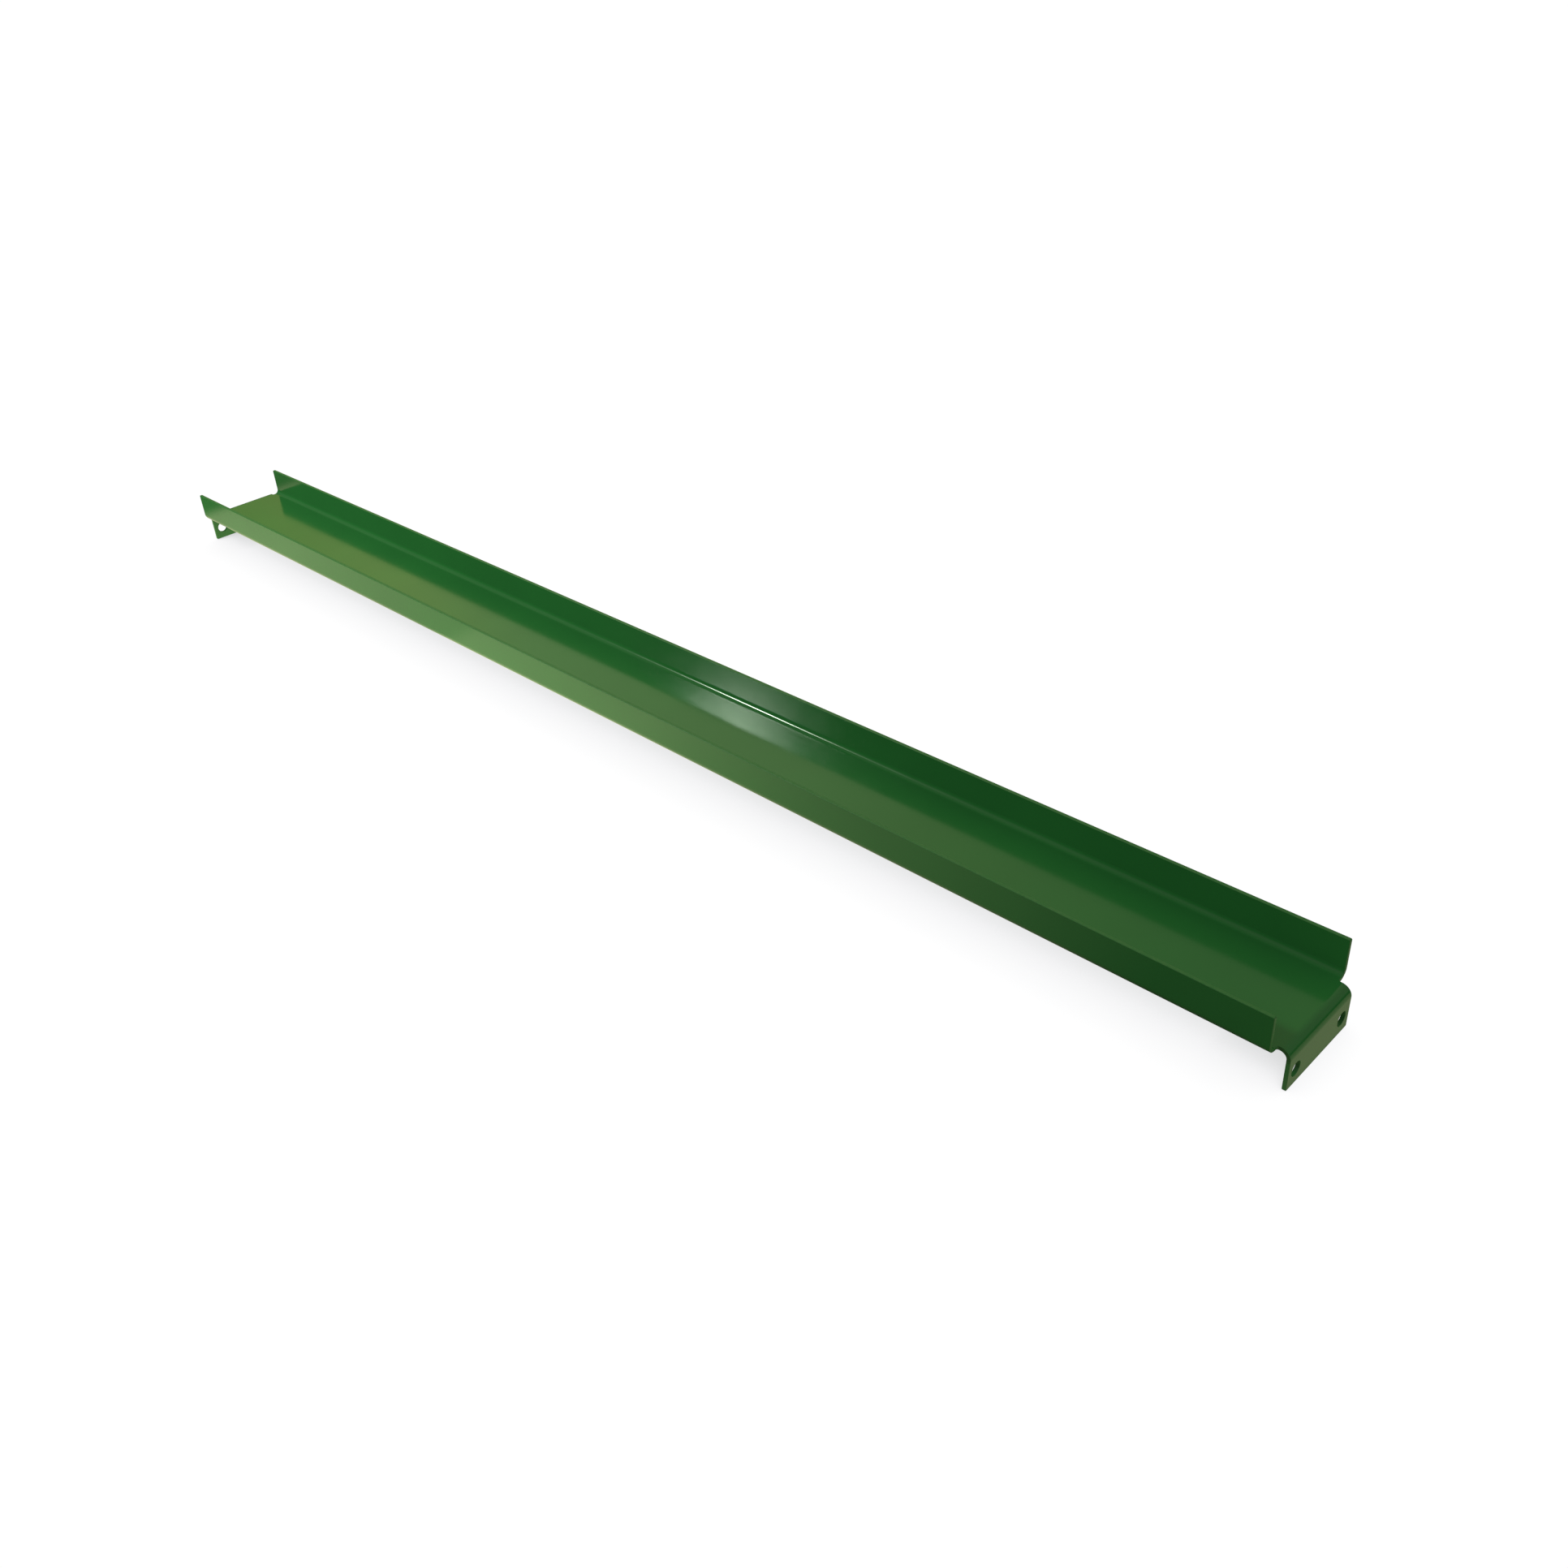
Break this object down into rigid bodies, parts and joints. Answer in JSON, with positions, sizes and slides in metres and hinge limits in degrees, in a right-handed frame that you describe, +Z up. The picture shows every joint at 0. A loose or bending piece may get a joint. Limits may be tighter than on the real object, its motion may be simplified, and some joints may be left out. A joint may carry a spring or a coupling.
{
  "type": "straight slide",
  "caption": "Long straight slide channel folded from sheet steel, with low side walls and a bolt flange turned down at each end.",
  "frame": {"origin": "under the middle of the slide, on the plane of the end flanges' lower edges", "axes": "+X along the slide towards the right end flange, +Y across it towards the rear side wall, +Z up out of the trough"},
  "size_m": [1.4, 0.1, 0.062],
  "materials": {
    "green_powder_coat": "glossy powder coat over sheet steel, with a faint orange peel"
  },
  "bodies": {
    "root": {"floor_pan": "green_powder_coat", "front_side_wall": "green_powder_coat", "rear_side_wall": "green_powder_coat", "left_end_flange": "green_powder_coat", "right_end_flange": "green_powder_coat"}
  },
  "joints": []
}
